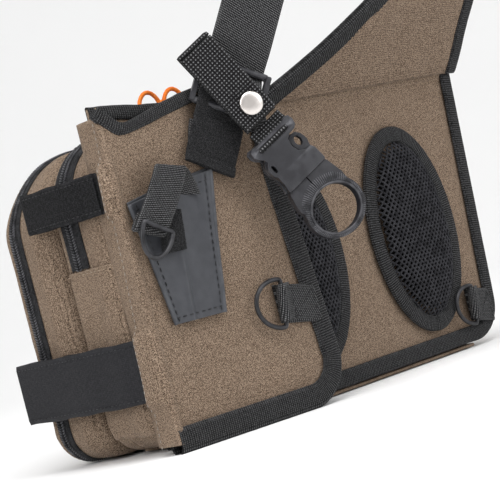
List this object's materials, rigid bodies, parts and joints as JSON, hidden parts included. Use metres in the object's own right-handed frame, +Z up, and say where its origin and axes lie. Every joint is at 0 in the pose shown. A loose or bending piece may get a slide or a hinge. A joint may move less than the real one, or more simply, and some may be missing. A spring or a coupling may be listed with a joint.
{
  "type": "fishing sling bag",
  "caption": "Landscape shoulder sling bag with zipped compartments, swing-out hip wing, plier holster, tool clip, rod bands and a shoulder loop.",
  "frame": {"origin": "middle of the underside of the main compartment's base panel", "axes": "+Z up, -Y out of the back panel towards the wearer, +X to the right seen from behind"},
  "size_m": [0.3624, 0.2132, 0.3905],
  "materials": {
    "canvas": "brown melange polyester canvas",
    "webbing": "black polyester webbing and binding",
    "air_mesh": "black three-layer air mesh",
    "foam": "closed-cell foam",
    "lining": "grey nylon lining",
    "board": "stiffener board",
    "leather": "dark blue-grey coated leather, fine grain",
    "plastic": "moulded acetal, satin",
    "wire": "black coated steel wire",
    "nickel": "brushed nickel plate",
    "cord": "orange braided cord"
  },
  "bodies": {
    "bag": {"main_rear_shell": "canvas", "base_panel": "canvas", "base_board": "board", "back_panel": "canvas", "back_foam": "foam", "back_binding": "webbing", "slip_pocket": "lining", "pad_binding_left": "webbing", "pad_binding_right": "webbing", "pad_left": "air_mesh", "pad_right": "air_mesh", "main_zip_rear": "webbing", "back_tab": "webbing"},
    "front_section": {"main_front_shell": "canvas", "front_pocket_shell": "canvas", "front_organizer": "lining", "front_zip_rear": "webbing", "main_zip_front": "webbing"},
    "front_door": {"front_door": "canvas", "front_zip_door": "webbing", "door_pocket": "canvas"},
    "wing": {"wing_backing": "canvas", "wing_front": "canvas", "wing_binding": "webbing", "wing_foam": "foam", "holster": "leather", "holster_loop": "webbing", "hook_patch": "webbing", "wing_tab": "webbing", "lock_tab": "webbing"},
    "holster_ring": {"holster_d_ring": "wire"},
    "wing_ring": {"wing_d_ring": "wire"},
    "back_ring": {"back_d_ring": "wire"},
    "upper_band": {"upper_band": "webbing"},
    "lower_band": {"lower_band": "webbing"},
    "shoulder_strap": {"shoulder_yoke": "canvas", "shoulder_webbing": "webbing", "strap_socket": "plastic", "strap_plug": "plastic"},
    "lower_strap": {"lower_webbing": "webbing", "ladder_lock": "plastic", "tool_strap_back": "webbing", "snap_stud": "nickel"},
    "strap_tail": {"strap_tail": "webbing"},
    "tool_flap": {"tool_strap_flap": "webbing", "snap_cap": "nickel"},
    "tool_clip": {"clip_loop": "webbing", "clip_socket": "plastic"},
    "clip_plug": {"clip_plug": "plastic"},
    "clip_latch_left": {"clip_latch_left": "plastic"},
    "clip_latch_right": {"clip_latch_right": "plastic"},
    "main_left_slider": {"main_left_slider": "wire"},
    "main_left_puller": {"main_left_puller": "cord"},
    "main_right_slider": {"main_right_slider": "wire"},
    "main_right_puller": {"main_right_puller": "cord"},
    "front_left_slider": {"front_left_slider": "wire"},
    "front_left_puller": {"front_left_puller": "cord"},
    "front_right_slider": {"front_right_slider": "wire"},
    "front_right_puller": {"front_right_puller": "cord"}
  },
  "joints": [
    {"name": "front_section_lean", "type": "hinge", "parent": "bag", "child": "front_section", "pos_m": [0, 0.027, 0.0032], "axis": [-1, 0, 0], "range_deg": [0, 18]},
    {"name": "front_door_fold", "type": "hinge", "parent": "front_section", "child": "front_door", "pos_m": [0, 0.066, -0.0002], "axis": [-1, 0, 0], "range_deg": [0, 85]},
    {"name": "main_left_zip", "type": "slide", "parent": "bag", "child": "main_left_slider", "axis": [1, 0, 0], "range_m": [-0.044, 0]},
    {"name": "main_left_pull", "type": "hinge", "parent": "main_left_slider", "child": "main_left_puller", "pos_m": [-0.076, 0.01, 0.2026], "axis": [1, 0, 0], "range_deg": [-50, 50], "stiffness_Nm_per_rad": 0.003},
    {"name": "main_right_zip", "type": "slide", "parent": "bag", "child": "main_right_slider", "axis": [1, 0, 0], "range_m": [0, 0.174]},
    {"name": "main_right_pull", "type": "hinge", "parent": "main_right_slider", "child": "main_right_puller", "pos_m": [-0.054, 0.01, 0.2026], "axis": [1, 0, 0], "range_deg": [-50, 50], "stiffness_Nm_per_rad": 0.003},
    {"name": "front_left_zip", "type": "slide", "parent": "front_section", "child": "front_left_slider", "axis": [1, 0, 0], "range_m": [-0.109, 0]},
    {"name": "front_left_pull", "type": "hinge", "parent": "front_left_slider", "child": "front_left_puller", "pos_m": [-0.011, 0.066, 0.2026], "axis": [1, 0, 0], "range_deg": [-50, 50], "stiffness_Nm_per_rad": 0.003},
    {"name": "front_right_zip", "type": "slide", "parent": "front_section", "child": "front_right_slider", "axis": [1, 0, 0], "range_m": [0, 0.109]},
    {"name": "front_right_pull", "type": "hinge", "parent": "front_right_slider", "child": "front_right_puller", "pos_m": [0.011, 0.066, 0.2026], "axis": [1, 0, 0], "range_deg": [-50, 50], "stiffness_Nm_per_rad": 0.003},
    {"name": "wing_swing", "type": "hinge", "parent": "bag", "child": "wing", "pos_m": [-0.167, -0.031, 0.1], "axis": [0, 0, -1], "range_deg": [0, 95]},
    {"name": "holster_ring_swing", "type": "hinge", "parent": "wing", "child": "holster_ring", "pos_m": [-0.15703, -0.05831, 0.1325], "axis": [-0.8605, 0.098, 0.5], "range_deg": [0, 110]},
    {"name": "wing_ring_swing", "type": "hinge", "parent": "wing", "child": "wing_ring", "pos_m": [-0.07081, -0.05686, 0.069], "axis": [0.1383, -0.0158, 0.9903], "range_deg": [0, 150]},
    {"name": "back_ring_swing", "type": "hinge", "parent": "bag", "child": "back_ring", "pos_m": [0.1385, -0.0351, 0.029], "axis": [0.1392, 0, 0.9903], "range_deg": [0, 150]},
    {"name": "upper_band_swing", "type": "hinge", "parent": "bag", "child": "upper_band", "pos_m": [-0.169, -0.0275, 0.16], "axis": [0, 0, 1], "range_deg": [0, 60]},
    {"name": "lower_band_swing", "type": "hinge", "parent": "bag", "child": "lower_band", "pos_m": [-0.169, -0.0275, 0.052], "axis": [0, 0, 1], "range_deg": [0, 60]},
    {"name": "shoulder_yoke_bend", "type": "hinge", "parent": "bag", "child": "shoulder_strap", "pos_m": [0.08, -0.03, 0.1966], "axis": [1, 0, 0], "range_deg": [-15, 35]},
    {"name": "lower_strap_tilt", "type": "hinge", "parent": "wing", "child": "lower_strap", "pos_m": [-0.07906, -0.06173, 0.19868], "axis": [-0.75, 0.433, 0.5], "range_deg": [-12, 4]},
    {"name": "strap_tail_lift", "type": "hinge", "parent": "wing", "child": "strap_tail", "pos_m": [-0.08797, -0.05731, 0.1868], "axis": [-0.8502, 0.0969, 0.5174], "range_deg": [0, 60]},
    {"name": "tool_flap_open", "type": "hinge", "parent": "lower_strap", "child": "tool_flap", "pos_m": [-0.09411, -0.0624, 0.2321], "axis": [-0.75, 0.433, -0.5], "range_deg": [0, 100]},
    {"name": "tool_clip_swing", "type": "hinge", "parent": "lower_strap", "child": "tool_clip", "pos_m": [-0.06631, -0.07395, 0.18039], "axis": [-0.75, 0.433, -0.5], "range_deg": [-10, 60]},
    {"name": "clip_release", "type": "slide", "parent": "tool_clip", "child": "clip_plug", "axis": [0.433, -0.25, -0.866], "range_m": [0, 0.04]},
    {"name": "clip_latch_left_press", "type": "hinge", "parent": "clip_plug", "child": "clip_latch_left", "pos_m": [-0.05362, -0.08416, 0.13392], "axis": [0.5, 0.866, 0], "range_deg": [0, 6], "stiffness_Nm_per_rad": 0.03},
    {"name": "clip_latch_right_press", "type": "hinge", "parent": "clip_plug", "child": "clip_latch_right", "pos_m": [-0.03967, -0.09221, 0.14322], "axis": [-0.5, -0.866, 0], "range_deg": [0, 6], "stiffness_Nm_per_rad": 0.03}
  ]
}
